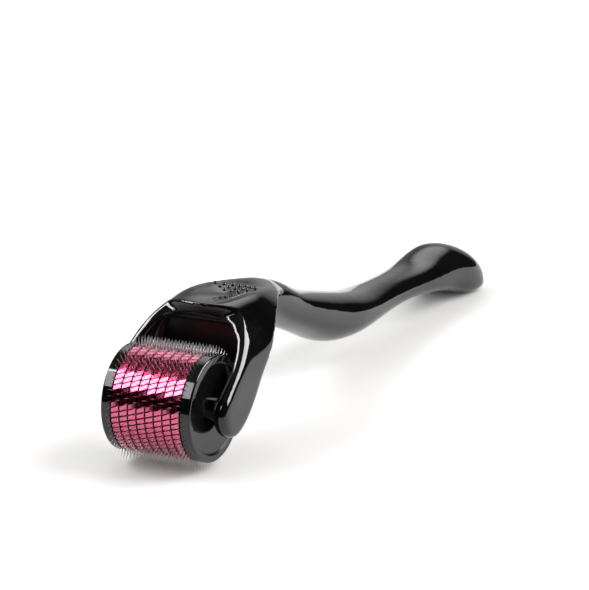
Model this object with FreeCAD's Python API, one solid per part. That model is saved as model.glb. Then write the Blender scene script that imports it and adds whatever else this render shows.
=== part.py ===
import FreeCAD, Part
import math
import os

os.makedirs("parts", exist_ok=True)

# Needle roller with a curved handle.  Millimetres, +Z up, X is the roller axis,
# the handle runs back along +Y.  Everything is drawn about the roller centre and
# moved so that the middle of the underside of the bounding box is the origin.

# ---- roller ----
TIP_R = 11.5                # needle tips
RIM_R = 10.0                # outside of the rings
HUB_R = 8.2                 # shoulder the needles stand on
RING_COUNT = 8
NEEDLES_PER_ROW = 60
ROW_PITCH = 1.785
NEEDLE_R = 0.1
NEEDLE_POINT = 1.3
SEAT_GAP = 0.32             # slot between two rings that holds a row of needles
GROOVE_DEPTH = 0.3
GROOVE_HALF_ANGLE = 0.75
HEX_FLATS = 7.0
HEX_REACH = 0.5             # how far the hexagon enters each end cap
CAP_RIM = 2.1
CAP_EDGE = 0.35
CAP_RECESS = 0.35
CAP_RECESS_R = 8.7
BOSS_R = 2.3
BOSS_FACE_X = 9.9
JOURNAL_R = 1.6
JOURNAL_END_X = 12.0

# ---- fork ----
ARM_INNER_X = 10.2
ARM_OUTER_X = 13.1
BEARING_CLEARANCE = 0.05
BEARING_END_X = 12.2
ARCH_Z = 3.5                # height where the arch turns into straight arms
ARCH_INNER_TOP = 14.0
ARCH_INNER_POWER = 2.8
DISH_HALF = 7.0             # half width of the finger dish on top of the hood
SCOOP_R = 17.6
SCOOP_WALL_Y = 12.6         # back wall of the hollow under the hood
SCOOP_CORNER_R = 3.4
VISOR_HALF = 8.7
GRIP_DOT_R = 0.48
GRIP_DOT_SINK = 0.14
GRIP_COLUMN_PITCH = 1.4
GRIP_DOT_PITCH = 1.67
GRIP_CENTRE_Y = 25.3

# ---- handle ----
TAIL_DOME_Y = 118.5         # where the rounded end of the tail starts
TAIL_END_Y = 125.3
REST_Z = -TIP_R             # height of the table under the roller centre

TOTAL_LENGTH = TAIL_END_Y + TIP_R
SHIFT = FreeCAD.Vector(0, TIP_R - TOTAL_LENGTH / 2, TIP_R)
ROW_1_X = -ROW_PITCH * RING_COUNT / 2
STEP_ANGLE = 360.0 / NEEDLES_PER_ROW


def vec(x, y, z):
    return FreeCAD.Vector(x, y, z)


def x_cylinder(radius, x0, x1):
    return Part.makeCylinder(radius, x1 - x0, vec(x0, 0, 0), vec(1, 0, 0))


def ring_around(radius, x, angle):
    a = math.radians(angle)
    return vec(x, radius * math.sin(a), radius * math.cos(a))


def spline(points, periodic=False):
    curve = Part.BSplineCurve()
    curve.interpolate([vec(*p) for p in points], PeriodicFlag=periodic)
    return curve.toShape()


# ---------------------------------------------------------------- roller

def hexagon(x0, x1, flats):
    corner = flats / math.sqrt(3)
    wire = Part.makePolygon([ring_around(corner, x0, 60 * i) for i in range(7)])
    return Part.Face(wire).extrude(vec(x1 - x0, 0, 0))


def tile_outline(x, turn):
    points = []
    half = STEP_ANGLE / 2 - GROOVE_HALF_ANGLE
    for i in range(NEEDLES_PER_ROW):
        middle = turn + STEP_ANGLE * (i + 0.5)
        points.append(ring_around(RIM_R, x, middle - half))
        points.append(ring_around(RIM_R, x, middle + half))
        points.append(ring_around(RIM_R - GROOVE_DEPTH, x, middle + STEP_ANGLE / 2))
    points.append(points[0])
    return Part.makePolygon(points)


def make_ring(index):
    x0 = ROW_1_X + ROW_PITCH * (index - 1)
    x1 = x0 + ROW_PITCH
    turn = STEP_ANGLE / 2 * (index - 1)
    first = tile_outline(x0 + SEAT_GAP / 2, turn)
    last = tile_outline(x1 - SEAT_GAP / 2, turn + STEP_ANGLE / 2)
    walls = [Part.makeRuledSurface(a, b) for a, b in zip(first.Edges, last.Edges)]
    shell = Part.makeShell(walls + [Part.Face(first), Part.Face(last)])
    shell.sewShape()
    tread = Part.makeSolid(shell)
    if tread.Volume < 0:
        tread.reverse()
    return tread.fuse(x_cylinder(HUB_R, x0, x1)).cut(hexagon(x0 - 1, x1 + 1, HEX_FLATS))


def make_needle():
    shank_top = TIP_R - NEEDLE_POINT
    shank = Part.makeCylinder(NEEDLE_R, shank_top - HUB_R, vec(0, 0, HUB_R))
    point = Part.makeCone(NEEDLE_R, 0.02, NEEDLE_POINT, vec(0, 0, shank_top))
    return shank.fuse(point).removeSplitter()


def make_needle_row(index, needle):
    x = ROW_1_X + ROW_PITCH * (index - 1)
    turn = STEP_ANGLE / 2 * (index - 1)
    row = []
    for i in range(NEEDLES_PER_ROW):
        one = needle.copy()
        one.rotate(vec(0, 0, 0), vec(1, 0, 0), turn + STEP_ANGLE * i)
        one.translate(vec(x, 0, 0))
        row.append(one)
    return Part.makeCompound(row)


def make_end_cap(side):
    x0 = -ROW_1_X
    face = x0 + CAP_RIM
    rim = x_cylinder(RIM_R, x0 + SEAT_GAP / 2, face)
    outer_edge = [e for e in rim.Edges if abs(e.CenterOfMass.x - face) < 0.01]
    rim = rim.makeFillet(CAP_EDGE, outer_edge)
    cap = rim.fuse(x_cylinder(HUB_R, x0, face))
    dish = Part.makeCone(CAP_RECESS_R, CAP_RECESS_R - 0.4, CAP_RECESS,
                         vec(face, 0, 0), vec(-1, 0, 0))
    cap = cap.cut(dish)
    cap = cap.fuse(x_cylinder(BOSS_R, x0 + CAP_RIM / 2, BOSS_FACE_X))
    cap = cap.cut(hexagon(x0 - 1, x0 + HEX_REACH, HEX_FLATS))
    cap = cap.cut(x_cylinder(JOURNAL_R, x0 - 1, BOSS_FACE_X + 1)).removeSplitter()
    if side < 0:
        cap.rotate(vec(0, 0, 0), vec(0, 0, 1), 180)
    return cap


def make_core():
    half = -ROW_1_X + HEX_REACH
    core = hexagon(-half, half, HEX_FLATS)
    core = core.fuse(x_cylinder(JOURNAL_R, -JOURNAL_END_X, JOURNAL_END_X))
    ends = [e for e in core.Edges if abs(abs(e.CenterOfMass.x) - JOURNAL_END_X) < 0.01]
    return core.makeChamfer(0.3, ends)


# ---------------------------------------------------------------- fork

def superellipse(angle, power):
    c = math.cos(angle)
    d = math.sin(angle)
    return (math.copysign(abs(c) ** (2 / power), c), math.copysign(abs(d) ** (2 / power), d))


def arch_section(y, half_width, foot_z, spring_z, top_z, power, dish=0.0):
    right = vec(half_width, y, spring_z)
    left = vec(-half_width, y, spring_z)
    crown = [right]
    for i in range(1, 16):
        across, up = superellipse(math.pi * i / 16, power)
        x = half_width * across
        dip = dish * max(0.0, 1 - (x / DISH_HALF) ** 2) ** 2
        crown.append(vec(x, y, spring_z + (top_z - spring_z) * up - dip))
    crown.append(left)
    arc = Part.BSplineCurve()
    arc.interpolate(Points=crown, InitialTangent=vec(0, 0, 1), FinalTangent=vec(0, 0, -1))
    foot_right = vec(half_width, y, foot_z)
    foot_left = vec(-half_width, y, foot_z)
    legs = Part.makePolygon([left, foot_left, foot_right, right])
    return Part.Wire([arc.toShape()] + legs.Edges)


def make_bonnet():
    stations = [
        (-8, ARM_OUTER_X, -9, ARCH_Z, 14.5, 2.3, 0),
        (3, ARM_OUTER_X, -9, ARCH_Z, 15.6, 2.25, 0),
        (11, ARM_OUTER_X, -9, ARCH_Z, 16.4, 2.2, 0.4),
        (18, 13.0, -9, ARCH_Z, 16.7, 2.5, 1.8),
        (25, 11.5, -8, ARCH_Z + 0.4, 16.2, 2.7, 1.6),
        (32, 8.4, -6, ARCH_Z + 1.6, 14.9, 2.6, 0.2),
        (39, 5.6, -4, ARCH_Z + 2.4, 12.0, 2.4, 0),
    ]
    return Part.makeLoft([arch_section(*s) for s in stations], True, False)


def side_profile():
    front = spline([(0, -4.1, -0.6), (0, -3.2, 1.5), (0, -1.2, 3.3), (0, 1.6, 5.5), (0, 4.8, 7.9),
                    (0, 8.7, 11.2)])
    over = Part.makePolygon([vec(0, 8.7, 11.2), vec(0, 13.6, 15.3), vec(0, 13.6, 22),
                             vec(0, 37, 22), vec(0, 37, 11.6)])
    under = spline([(0, 37, 11.6), (0, 31, 12.9), (0, 25, 12.8), (0, 20.4, 11.2), (0, 16.9, 8.4),
                    (0, 13.8, 4.9), (0, 11.3, 1.9), (0, 9.2, -0.8), (0, 6.8, -3.1),
                    (0, 4.0, -4.9), (0, 1.2, -5.6), (0, -2.2, -4.3), (0, -4.1, -0.6)])
    return Part.Wire([front] + over.Edges + [under])


def extrude_x(wire, half):
    face = Part.Face(wire)
    face.translate(vec(-half, 0, 0))
    return face.extrude(vec(2 * half, 0, 0))


def visor_region():
    lip = spline([(-VISOR_HALF, 13.3, 0), (-4, 11.4, 0), (0, 10.6, 0), (4, 11.4, 0), (VISOR_HALF, 13.3, 0)])
    back = Part.makePolygon([vec(VISOR_HALF, 13.3, 0), vec(VISOR_HALF, 20, 0),
                             vec(-VISOR_HALF, 20, 0), vec(-VISOR_HALF, 13.3, 0)])
    return Part.Face(Part.Wire([lip] + back.Edges)).extrude(vec(0, 0, 22))


def make_cavity():
    slot = Part.Face(arch_section(-20, ARM_INNER_X, -20, ARCH_Z, ARCH_INNER_TOP, ARCH_INNER_POWER))
    slot = slot.extrude(vec(0, 40, 0))
    plan = Part.makeBox(2 * ARM_INNER_X, 40, 60, vec(-ARM_INNER_X, SCOOP_WALL_Y - 40, -30))
    corners = [e for e in plan.Edges if abs(e.CenterOfMass.y - SCOOP_WALL_Y) < 0.01
               and abs(e.CenterOfMass.z) < 0.01]
    plan = plan.makeFillet(SCOOP_CORNER_R, corners)
    hollow = slot.common(x_cylinder(SCOOP_R, -ARM_INNER_X - 1, ARM_INNER_X + 1))
    return hollow.common(plan)


def make_fork():
    bonnet = make_bonnet()
    arms = bonnet.common(extrude_x(side_profile(), ARM_OUTER_X + 2))
    visor = bonnet.common(visor_region())
    visor = visor.cut(Part.makeBox(40, 40, 30, vec(-20, -10, -18)))
    fork = arms.fuse(visor)
    return fork.cut(make_cavity())


# ---------------------------------------------------------------- handle

def oval(y, z, half_width, above, below, lean, bottom_power):
    slope = math.radians(lean)
    points = []
    for i in range(32):
        angle = 2 * math.pi * (i + 0.5) / 32
        upper = math.sin(angle) > 0
        across, deep = superellipse(angle, 2.1 if upper else bottom_power)
        deep *= above if upper else below
        points.append((half_width * across, y + deep * math.sin(slope), z + deep * math.cos(slope)))
    return Part.Wire([spline(points, True)])


def make_stem():
    stations = [
        (20, 12.0, 4.6, 1.6, 2.4, 10, 2.1),
        (27, 11.7, 5.2, 1.9, 3.2, 20, 2.1),
        (35, 10.1, 5.4, 3.9, 4.0, 27, 2.1),
        (43.5, 6.0, 5.5, 4.1, 4.1, 25, 2.1),
        (52, 2.4, 5.9, 4.5, 4.5, 22, 2.1),
        (60, -0.5, 6.3, 4.95, 5.1, 17, 2.1),
        (68, -2.3, 6.5, 4.6, 4.6, 8, 2.1),
        (76, -3.1, 5.9, 3.8, 3.8, 3, 2.1),
        (85, -3.5, 5.2, 3.2, 3.2, 2, 2.1),
        (95, -3.9, 5.3, 2.9, 2.9, 2, 2.3),
        (104, -4.4, 6.1, 3.5, 3.5, 2, 2.7),
        (112, -5.4, 6.9, 5.5, 4.3, 3, 3.2),
        (TAIL_DOME_Y, -7.6, 7.7, 6.2, 4.0, 0, 3.6),
    ]
    sections = [oval(*s) for s in stations]
    for reach in (0.35, 0.6, 0.8, 0.92, 0.98):
        shrink = (1 - reach ** 2.8) ** (1 / 2.8)
        z = -7.6 - 3.2 * reach
        below = (z - REST_Z + 0.1) * math.sqrt(shrink)
        y = TAIL_DOME_Y + (TAIL_END_Y - TAIL_DOME_Y) * reach
        sections.append(oval(y, z, 7.7 * shrink, 6.2 * shrink, below, 0, 3.6))
    tip = Part.Vertex(vec(0, TAIL_END_Y, -10.9))
    return Part.makeLoft(sections + [tip], True, False)


def surface_height(shape, x, y):
    return Part.makeLine(vec(x, y, 0), vec(x, y, 30)).common(shape).BoundBox.ZMax


def make_grip_dots(handle):
    dots = []
    for column, count in enumerate((1, 2, 3, 3, 3, 2, 1)):
        x = (column - 3) * GRIP_COLUMN_PITCH
        for i in range(count):
            y = GRIP_CENTRE_Y + (i - (count - 1) / 2) * GRIP_DOT_PITCH
            z = surface_height(handle, x, y) - GRIP_DOT_SINK
            dots.append(Part.makeSphere(GRIP_DOT_R, vec(x, y, z)))
    return dots


def make_handle():
    handle = make_fork().fuse(make_stem())
    handle = handle.fuse(make_grip_dots(handle))
    handle = handle.cut(Part.makeBox(60, 200, 20, vec(-30, 20, REST_Z - 20)))
    bearing = x_cylinder(JOURNAL_R + BEARING_CLEARANCE, -BEARING_END_X, BEARING_END_X)
    handle = handle.cut(bearing)
    return handle


def save(shape, name):
    shape.translate(SHIFT)
    shape.exportStep("parts/" + name + ".step")


needle = make_needle()
save(make_handle(), "handle")
save(make_core(), "roller_core")
for number in range(1, RING_COUNT + 1):
    save(make_ring(number), "ring_%d" % number)
for number in range(1, RING_COUNT + 2):
    save(make_needle_row(number, needle), "needle_row_%d" % number)
save(make_end_cap(-1), "left_end_cap")
save(make_end_cap(1), "right_end_cap")
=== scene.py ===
"""Derma roller: looks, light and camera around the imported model, in metres and in its frame."""

import math

import bmesh
import bpy
from mathutils import Matrix, Vector


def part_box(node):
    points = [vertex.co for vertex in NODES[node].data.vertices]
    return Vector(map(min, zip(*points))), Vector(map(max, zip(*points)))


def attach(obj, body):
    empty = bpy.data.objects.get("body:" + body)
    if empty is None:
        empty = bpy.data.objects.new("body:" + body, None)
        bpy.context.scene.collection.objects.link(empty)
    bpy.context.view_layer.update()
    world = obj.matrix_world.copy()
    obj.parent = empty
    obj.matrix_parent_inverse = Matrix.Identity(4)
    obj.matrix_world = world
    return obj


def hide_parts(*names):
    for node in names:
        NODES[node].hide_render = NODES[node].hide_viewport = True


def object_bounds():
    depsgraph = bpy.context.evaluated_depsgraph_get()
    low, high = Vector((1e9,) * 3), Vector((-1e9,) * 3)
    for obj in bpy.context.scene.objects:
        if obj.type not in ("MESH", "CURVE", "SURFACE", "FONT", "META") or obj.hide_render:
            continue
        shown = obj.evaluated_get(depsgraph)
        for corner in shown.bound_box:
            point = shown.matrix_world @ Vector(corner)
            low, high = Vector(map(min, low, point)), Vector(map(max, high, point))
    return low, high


MM = 0.001
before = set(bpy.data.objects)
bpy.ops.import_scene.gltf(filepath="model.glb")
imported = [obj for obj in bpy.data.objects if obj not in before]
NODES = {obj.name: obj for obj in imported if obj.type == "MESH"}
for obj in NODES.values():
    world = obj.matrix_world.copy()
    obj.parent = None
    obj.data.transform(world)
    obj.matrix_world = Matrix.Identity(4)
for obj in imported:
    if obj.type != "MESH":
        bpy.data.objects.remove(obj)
cad_low, cad_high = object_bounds()

# ---- places read from the frame ----
core_low, core_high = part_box("roller_core")
AXLE = (core_low + core_high) / 2               # middle of the drum
RIM_R = (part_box("ring_1")[1].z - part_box("ring_1")[0].z) / 2

# ---- camera ----
CAMERA_AIM = Vector((13.2, -32.9, 26.9)) * MM
CAMERA_DISTANCE = 660 * MM
CAMERA_AZIMUTH = 27.6
CAMERA_ELEVATION = 17.0
CAMERA_ROLL = -1.0
CAMERA_LENS = 217                               # millimetres, on the default 36 mm sensor

# ---- panels that the gloss mirrors: azimuth, elevation, width, height, radiance ----
PANEL_DISTANCE = 0.75
PANELS = {
    "key": (-138, 43, 0.34, 0.36, 7.0),
    "left_panel": (-101, 46, 0.36, 0.30, 16.0),
    "right_panel": (61, 41, 0.54, 0.54, 14.0),
}

# ---- fills that light surfaces but aren't mirrored: direction, width, height, radiance ----
FILL_DISTANCE = 1.6
FILLS = {
    "overhead_fill": ((0.0, 0.1, 1.0), 2.4, 2.4, 1.0),
    "right_fill": ((1.0, 0.25, 0.3), 2.4, 0.8, 10.0),
    "front_fill": ((-0.8, -0.6, 0.3), 2.4, 0.8, 8.0),
    "back_fill": ((-0.5, 1.0, 0.3), 2.4, 0.8, 10.0),
}

# ---- soft light from the room: azimuth, elevation, spread, strength ----
SKY_GLOWS = (
    (-22, 41, 23, 2.0),                         # behind and above
    (-70, 80, 32, 0.15),                        # overhead
    (-62, 15, 52, 0.15),                        # low on the left
    (-34, 8, 26, 0.15),                         # pale backdrop
    (-12, 8, 22, 0.55),                         # the same, nearer the middle
)

# ---- floor ----
FLOOR_HALF = 4.0
FLOOR_GAP = 0.00002                             # below the lowest point of the part

# ---- handle shell ----
VOXEL = 0.25 * MM
SMOOTH_STEPS = 14                               # over the whole shell
RIM_SMOOTH_STEPS = 60                           # more, on the rims of the fork only
RIM_PASSES = 3
RIM_TOP = 12 * MM                               # above and behind the axle, where the rims' extra
RIM_BACK = 16 * MM                              # smoothing has faded out
RIM_FADE = 4 * MM
PATCH_SMOOTH_STEPS = 60                         # flattens what the even mesh keeps of the dots
PATCH_HALF_X = 5.5 * MM
PATCH_HALF_Y = 3.4 * MM
PATCH_FLOOR = 8 * MM                            # above the axle
BORE_R = 1.72 * MM
BORE_START_X = 9 * MM
BORE_END_X = 12.25 * MM
DOT_R = 0.50 * MM
DOT_LIFT = 0.12 * MM                            # above the CAD's dots, as the smoothed patch is
DOT_COUNTS = (1, 2, 3, 3, 3, 2, 1)
DOT_COLUMN_PITCH = 1.4 * MM
DOT_PITCH = 1.67 * MM
DOT_CENTRE_Y = AXLE.y + 25.3 * MM

# ---- looks ----
HOOD_REACH = (18.5 * MM, 19.5 * MM)             # from the axle: the duller inside ends between these
RING_CORNER = 20                                # degrees; sharper edges stay sharp
OTHER_CORNER = 30


# ------------------------------------------------------------------ materials

class Shader:
    """A material with one Principled shader, and short calls that add and link nodes."""

    def __init__(self, name):
        self.material = bpy.data.materials.new(name)
        self.material.use_nodes = True
        self.tree = self.material.node_tree
        self.surface = self.tree.nodes["Principled BSDF"]
        self.place = self.node("ShaderNodeTexCoord").outputs["Object"]

    def node(self, kind, **settings):
        made = self.tree.nodes.new(kind)
        for key, value in settings.items():
            setattr(made, key, value)
        return made

    def link(self, output, target):
        self.tree.links.new(output, target)

    def set(self, **values):
        for name, value in values.items():
            self.surface.inputs[name.replace("_", " ")].default_value = value

    def stretched(self, scale):
        mapping = self.node("ShaderNodeMapping")
        mapping.inputs["Scale"].default_value = scale
        self.link(self.place, mapping.inputs["Vector"])
        return mapping.outputs["Vector"]

    def noise(self, scale, detail=3.0, roughness=0.55, vector=None):
        made = self.node("ShaderNodeTexNoise")
        made.inputs["Scale"].default_value = scale
        made.inputs["Detail"].default_value = detail
        made.inputs["Roughness"].default_value = roughness
        self.link(vector or self.place, made.inputs["Vector"])
        return made.outputs["Fac"]

    def remap(self, value, low_in, high_in, low_out, high_out):
        made = self.node("ShaderNodeMapRange")
        numbers = (low_in, high_in, low_out, high_out)
        for key, number in zip(("From Min", "From Max", "To Min", "To Max"), numbers):
            made.inputs[key].default_value = number
        self.link(value, made.inputs["Value"])
        return made.outputs["Result"]

    def math(self, operation, first, second):
        made = self.node("ShaderNodeMath", operation=operation)
        for socket, value in zip(made.inputs, (first, second)):
            if isinstance(value, (int, float)):
                socket.default_value = value
            else:
                self.link(value, socket)
        return made.outputs["Value"]

    def ramp(self, value, stops):
        made = self.node("ShaderNodeValToRGB")
        elements = made.color_ramp.elements
        while len(elements) < len(stops):
            elements.new(0.5)
        for element, (position, colour) in zip(elements, stops):
            element.position = position
            element.color = (*colour, 1)
        self.link(value, made.inputs["Fac"])
        return made.outputs["Color"]

    def bump(self, height, distance, strength=1.0, below=None):
        made = self.node("ShaderNodeBump")
        made.inputs["Distance"].default_value = distance
        made.inputs["Strength"].default_value = strength
        self.link(height, made.inputs["Height"])
        if below:
            self.link(below, made.inputs["Normal"])
        return made.outputs["Normal"]

    def radius_from_axle(self):
        """Distance from the roller's axis, in metres."""
        parts = self.node("ShaderNodeSeparateXYZ")
        self.link(self.place, parts.inputs["Vector"])
        across = self.math("SUBTRACT", parts.outputs["Y"], AXLE.y)
        up = self.math("SUBTRACT", parts.outputs["Z"], AXLE.z)
        square = self.math("ADD", self.math("POWER", across, 2.0), self.math("POWER", up, 2.0))
        return self.math("SQRT", square, 0.0)

    def faces_axle(self):
        """1 on a surface that faces the roller's axis, 0 on one that is side-on or turned away.

        This holds at rest only: the normal is the world's, so it is wrong on a drum that has turned.
        """
        inwards = self.node("ShaderNodeVectorMath", operation="SUBTRACT")
        inwards.inputs[0].default_value = AXLE
        self.link(self.place, inwards.inputs[1])
        flat = self.node("ShaderNodeVectorMath", operation="MULTIPLY")
        self.link(inwards.outputs["Vector"], flat.inputs[0])
        flat.inputs[1].default_value = (0, 1, 1)
        unit = self.node("ShaderNodeVectorMath", operation="NORMALIZE")
        self.link(flat.outputs["Vector"], unit.inputs[0])
        facing = self.node("ShaderNodeVectorMath", operation="DOT_PRODUCT")
        self.link(unit.outputs["Vector"], facing.inputs[0])
        self.link(self.node("ShaderNodeNewGeometry").outputs["Normal"], facing.inputs[1])
        return self.remap(facing.outputs["Value"], 0.25, 0.6, 0.0, 1.0)


def gloss_black(name, waviness):
    """High-gloss moulded black with faint waves, hairlines and haze; duller where it faces the axle."""
    s = Shader(name)
    haze = s.noise(90, 4.0)
    hairlines = s.noise(700, 2.0, vector=s.stretched((1.0, 0.05, 1.0)))
    dull = s.remap(haze, 0.35, 0.75, 0.035, 0.085)
    rough = s.math("ADD", dull, s.remap(hairlines, 0.55, 0.8, 0.0, 0.03))
    near = s.remap(s.radius_from_axle(), *HOOD_REACH, 1.0, 0.0)
    inside = s.math("MULTIPLY", s.faces_axle(), near)
    s.link(s.math("ADD", rough, s.math("MULTIPLY", inside, 0.25)), s.surface.inputs["Roughness"])
    s.link(s.remap(inside, 0.0, 1.0, 0.5, 0.15), s.surface.inputs["Specular IOR Level"])
    s.link(s.ramp(haze, ((0.3, (0.0010, 0.0009, 0.0010)), (0.8, (0.0020, 0.0018, 0.0018)))),
           s.surface.inputs["Base Color"])
    waves = s.bump(s.noise(260, 2.0), waviness)
    s.link(s.bump(hairlines, 0.0000006, below=waves), s.surface.inputs["Normal"])
    s.set(IOR=1.5)
    return s.material


def pink_plating():
    """Mirror-bright pink plating on the drum's tiles, with painted shade darkening it to deep magenta down
    in the grooves.
    """
    s = Shader("ring_pink")
    # painted shade: the colour runs from near black at the groove bottoms to full pink on the tile tops,
    # with a random mottle of tone added
    depth = s.remap(s.radius_from_axle(), RIM_R - 0.4 * MM, RIM_R - 0.05 * MM, 0.0, 1.0)
    mottle = s.remap(s.noise(1100, 3.0), 0.3, 0.7, -0.10, 0.10)
    s.link(s.ramp(s.math("ADD", depth, mottle),
                  ((0.0, (0.07, 0.004, 0.02)), (0.5, (0.26, 0.03, 0.08)), (0.9, (0.55, 0.075, 0.17)))),
           s.surface.inputs["Base Color"])
    s.link(s.remap(s.noise(600, 4.0), 0.3, 0.7, 0.08, 0.17), s.surface.inputs["Roughness"])
    s.link(s.bump(s.noise(900, 2.0), 0.000003), s.surface.inputs["Normal"])
    s.set(Metallic=1.0, Coat_Weight=1.0, Coat_Roughness=0.05)
    return s.material


def needle_steel():
    """Bright drawn wire with fine lines along it and a slight change of tone from needle to needle."""
    s = Shader("needle_steel")
    tone = s.noise(500, 2.0)
    s.link(s.ramp(tone, ((0.3, (0.40, 0.40, 0.41)), (0.7, (0.60, 0.60, 0.61)))),
           s.surface.inputs["Base Color"])
    s.link(s.remap(s.noise(4000, 2.0), 0.3, 0.7, 0.28, 0.42), s.surface.inputs["Roughness"])
    s.link(s.bump(s.noise(9000, 2.0), 0.000002), s.surface.inputs["Normal"])
    s.set(Metallic=1.0)
    return s.material


def core_plastic():
    """Natural engineering plastic, satin from the mould."""
    s = Shader("core_white")
    cloud = s.noise(300, 3.0)
    s.link(s.ramp(cloud, ((0.3, (0.70, 0.67, 0.66)), (0.7, (0.80, 0.78, 0.77)))),
           s.surface.inputs["Base Color"])
    s.link(s.remap(cloud, 0.3, 0.7, 0.35, 0.5), s.surface.inputs["Roughness"])
    s.link(s.bump(s.noise(2200, 3.0), 0.00001), s.surface.inputs["Normal"])
    s.set(Subsurface_Weight=0.15, Subsurface_Scale=0.001)
    return s.material


def floor_paint():
    """Matt white board, faintly uneven."""
    s = Shader("floor_white")
    cloud = s.noise(6, 2.0)
    s.link(s.ramp(cloud, ((0.3, (0.30, 0.297, 0.295)), (0.7, (0.33, 0.327, 0.325)))),
           s.surface.inputs["Base Color"])
    s.link(s.remap(cloud, 0.3, 0.7, 0.55, 0.65), s.surface.inputs["Roughness"])
    s.set(Specular_IOR_Level=0.2)
    return s.material


# ------------------------------------------------------------------ geometry

def link_object(name, mesh):
    made = bpy.data.objects.new(name, mesh)
    bpy.context.scene.collection.objects.link(made)
    return made


def applied(piece):
    """The piece's mesh with its modifiers applied, in place of its own."""
    bpy.context.view_layer.update()
    mesh = bpy.data.meshes.new_from_object(piece.evaluated_get(bpy.context.evaluated_depsgraph_get()))
    piece.modifiers.clear()
    piece.data = mesh
    return piece


def cylinder_along_x(name, radius, x0, x1):
    mesh = bpy.data.meshes.new(name)
    work = bmesh.new()
    bmesh.ops.create_cone(work, cap_ends=True, segments=64, radius1=radius, radius2=radius, depth=x1 - x0)
    turn = Matrix.Rotation(math.pi / 2, 4, "Y")
    place = Matrix.Translation(((x0 + x1) / 2, AXLE.y, AXLE.z))
    bmesh.ops.transform(work, matrix=place @ turn, verts=work.verts)
    work.to_mesh(mesh)
    work.free()
    return link_object(name, mesh)


def add_grip_dots(mesh, cad_handle):
    """Raised dots on top of the hood, each in the place of the same dot in the CAD part."""
    work = bmesh.new()
    work.from_mesh(mesh)
    for column, count in enumerate(DOT_COUNTS):
        x = (column - (len(DOT_COUNTS) - 1) / 2) * DOT_COLUMN_PITCH
        for i in range(count):
            y = DOT_CENTRE_Y + (i - (count - 1) / 2) * DOT_PITCH
            cad_top = cad_handle.ray_cast(Vector((x, y, 1)), Vector((0, 0, -1)))[1]
            place = Matrix.Translation(cad_top + Vector((0, 0, DOT_LIFT - DOT_R)))
            bmesh.ops.create_icosphere(work, subdivisions=4, radius=DOT_R, matrix=place)
    work.to_mesh(mesh)
    work.free()


def mark_areas(shell):
    """Vertex groups: "rims" is full on the arms and fades out over the hood, "patch" is under the dots."""
    rims = shell.vertex_groups.new(name="rims")
    patch = shell.vertex_groups.new(name="patch")
    for vertex in shell.data.vertices:
        above = vertex.co.z - AXLE.z
        behind = vertex.co.y - AXLE.y
        weight = min((RIM_TOP - above) / RIM_FADE, (RIM_BACK - behind) / RIM_FADE, 1.0)
        if weight > 0:
            rims.add([vertex.index], weight, "REPLACE")
        across = abs(vertex.co.x) < PATCH_HALF_X
        along = abs(vertex.co.y - DOT_CENTRE_Y) < PATCH_HALF_Y
        if across and along and above > PATCH_FLOOR:
            patch.add([vertex.index], 1.0, "REPLACE")


def relax(shell, steps, group=""):
    """Adds a smoothing modifier, over the whole shell or within a vertex group."""
    smooth = shell.modifiers.new("relax", "SMOOTH")
    smooth.factor = 0.5
    smooth.iterations = steps
    smooth.vertex_group = group


def cut_bore(shell, side):
    """A blind bore from the inner face of the arm on that side."""
    ends = sorted((side * BORE_START_X, side * BORE_END_X))
    cutter = cylinder_along_x("bore_cutter", BORE_R, *ends)
    cut = shell.modifiers.new("bore", "BOOLEAN")
    cut.object = cutter
    cut.operation = "DIFFERENCE"
    cut.solver = "EXACT"
    applied(shell)
    bpy.data.objects.remove(cutter)


def make_handle_shell():
    """The handle with every edge softened as a mould leaves it: an even fine mesh, relaxed."""
    cad_handle = NODES["handle"]
    shell = link_object("handle_shell", cad_handle.data.copy())
    even = shell.modifiers.new("even", "REMESH")
    even.mode = "VOXEL"
    even.voxel_size = VOXEL
    relax(shell, SMOOTH_STEPS)
    applied(shell)
    mark_areas(shell)
    relax(shell, PATCH_SMOOTH_STEPS, "patch")
    for step in range(RIM_PASSES):
        relax(shell, RIM_SMOOTH_STEPS, "rims")
    applied(shell)
    for side in (-1, 1):
        cut_bore(shell, side)
    add_grip_dots(shell.data, cad_handle)
    for face in shell.data.polygons:
        face.use_smooth = True
    return shell


def smooth_by_angle(node, degrees):
    """Round stretches of a CAD piece shade as round; corners sharper than the angle stay sharp."""
    for face in node.data.polygons:
        face.use_smooth = True
    split = node.modifiers.new("corners", "EDGE_SPLIT")
    split.split_angle = math.radians(degrees)
    split.use_edge_sharp = False


def paint(piece, material):
    piece.data.materials.clear()
    piece.data.materials.append(material)


# ------------------------------------------------------------------ stage

def make_floor(material):
    mesh = bpy.data.meshes.new("floor")
    work = bmesh.new()
    bmesh.ops.create_grid(work, x_segments=8, y_segments=8, size=FLOOR_HALF)
    work.to_mesh(mesh)
    work.free()
    floor = link_object("floor", mesh)
    floor.location.z = cad_low.z - FLOOR_GAP
    paint(floor, material)


def softbox(name, direction, distance, width, height, radiance, seen=True):
    """A rectangular light that faces the drum from that direction."""
    data = bpy.data.lights.new(name, "AREA")
    data.shape = "RECTANGLE"
    data.size = width
    data.size_y = height
    data.energy = radiance * math.pi * width * height
    light = bpy.data.objects.new(name, data)
    bpy.context.scene.collection.objects.link(light)
    away = Vector(direction).normalized()
    light.location = AXLE + away * distance
    light.rotation_euler = (-away).to_track_quat("-Z", "Y").to_euler()
    light.visible_glossy = seen
    return light


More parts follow.
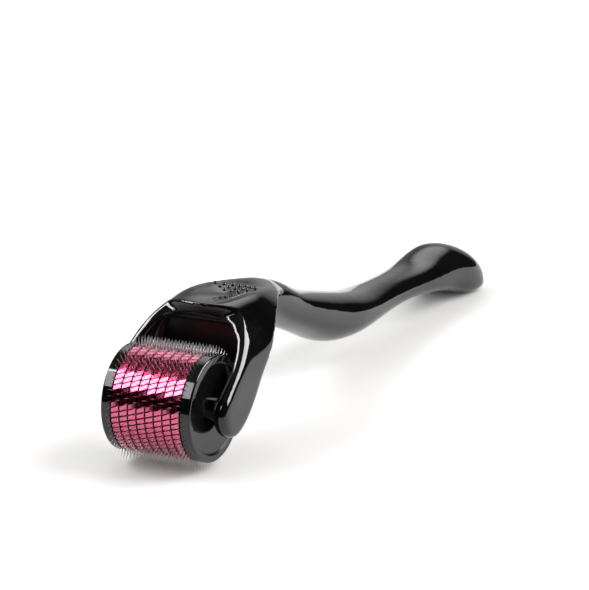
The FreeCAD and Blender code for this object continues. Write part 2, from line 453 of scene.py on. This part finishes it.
def sky_glow(tree, direction, spread, strength):
    """A soft patch of light: full at the direction, nothing beyond the spread, in degrees."""
    place = tree.nodes.new("ShaderNodeTexCoord").outputs["Generated"]
    along = tree.nodes.new("ShaderNodeVectorMath")
    along.operation = "DOT_PRODUCT"
    tree.links.new(place, along.inputs[0])
    along.inputs[1].default_value = Vector(direction).normalized()
    fade = tree.nodes.new("ShaderNodeMapRange")
    fade.interpolation_type = "SMOOTHSTEP"
    for key, number in zip(("From Min", "From Max", "To Min", "To Max"),
                           (math.cos(math.radians(spread)), 1.0, 0.0, strength)):
        fade.inputs[key].default_value = number
    tree.links.new(along.outputs["Value"], fade.inputs["Value"])
    return fade.outputs["Result"]


def towards(azimuth, elevation):
    """Unit vector with the azimuth measured from +Y, behind the drum, towards +X."""
    a, e = math.radians(azimuth), math.radians(elevation)
    return Vector((math.sin(a) * math.cos(e), math.cos(a) * math.cos(e), math.sin(e)))


def make_lights():
    for name, (azimuth, elevation, width, height, radiance) in PANELS.items():
        softbox(name, towards(azimuth, elevation), PANEL_DISTANCE, width, height, radiance)
    for name, (direction, width, height, radiance) in FILLS.items():
        softbox(name, direction, FILL_DISTANCE, width, height, radiance, seen=False)


def make_world():
    """Dark surroundings with a few soft patches of light added together."""
    world = bpy.data.worlds.new("studio")
    world.use_nodes = True
    tree = world.node_tree
    background = tree.nodes["Background"]
    total = None
    for azimuth, elevation, spread, strength in SKY_GLOWS:
        glow = sky_glow(tree, towards(azimuth, elevation), spread, strength)
        if total is None:
            total = glow
        else:
            both = tree.nodes.new("ShaderNodeMath")
            tree.links.new(total, both.inputs[0])
            tree.links.new(glow, both.inputs[1])
            total = both.outputs["Value"]
    background.inputs["Color"].default_value = (1, 1, 1, 1)
    tree.links.new(total, background.inputs["Strength"])
    bpy.context.scene.world = world


def make_camera():
    azimuth = math.radians(CAMERA_AZIMUTH)
    elevation = math.radians(CAMERA_ELEVATION)
    back = Vector((math.sin(azimuth) * math.cos(elevation), -math.cos(azimuth) * math.cos(elevation),
                   math.sin(elevation)))
    data = bpy.data.cameras.new("camera")
    data.lens = CAMERA_LENS
    data.clip_start = 0.01
    data.clip_end = 20
    camera = bpy.data.objects.new("camera", data)
    bpy.context.scene.collection.objects.link(camera)
    camera.location = CAMERA_AIM + back * CAMERA_DISTANCE
    level = (-back).to_track_quat("-Z", "Y").to_matrix().to_4x4()
    roll = Matrix.Rotation(math.radians(CAMERA_ROLL), 4, "Z")
    camera.rotation_euler = (level @ roll).to_euler()
    bpy.context.scene.camera = camera


# ------------------------------------------------------------------ the object

handle_black = gloss_black("handle_black", 0.000010)
cap_black = gloss_black("cap_black", 0.000006)
ring_pink = pink_plating()
steel = needle_steel()

shell = make_handle_shell()
paint(shell, handle_black)
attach(shell, "handle_body")
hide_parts("handle")

for name, node in NODES.items():
    if name.startswith("ring_"):
        paint(node, ring_pink)
        smooth_by_angle(node, RING_CORNER)
    elif name.startswith("needle_row_"):
        paint(node, steel)
        smooth_by_angle(node, OTHER_CORNER)
    elif name.endswith("end_cap"):
        paint(node, cap_black)
        smooth_by_angle(node, OTHER_CORNER)
paint(NODES["roller_core"], core_plastic())
smooth_by_angle(NODES["roller_core"], OTHER_CORNER)

make_floor(floor_paint())
make_lights()
make_world()
make_camera()
bpy.context.scene.view_settings.view_transform = "Standard"
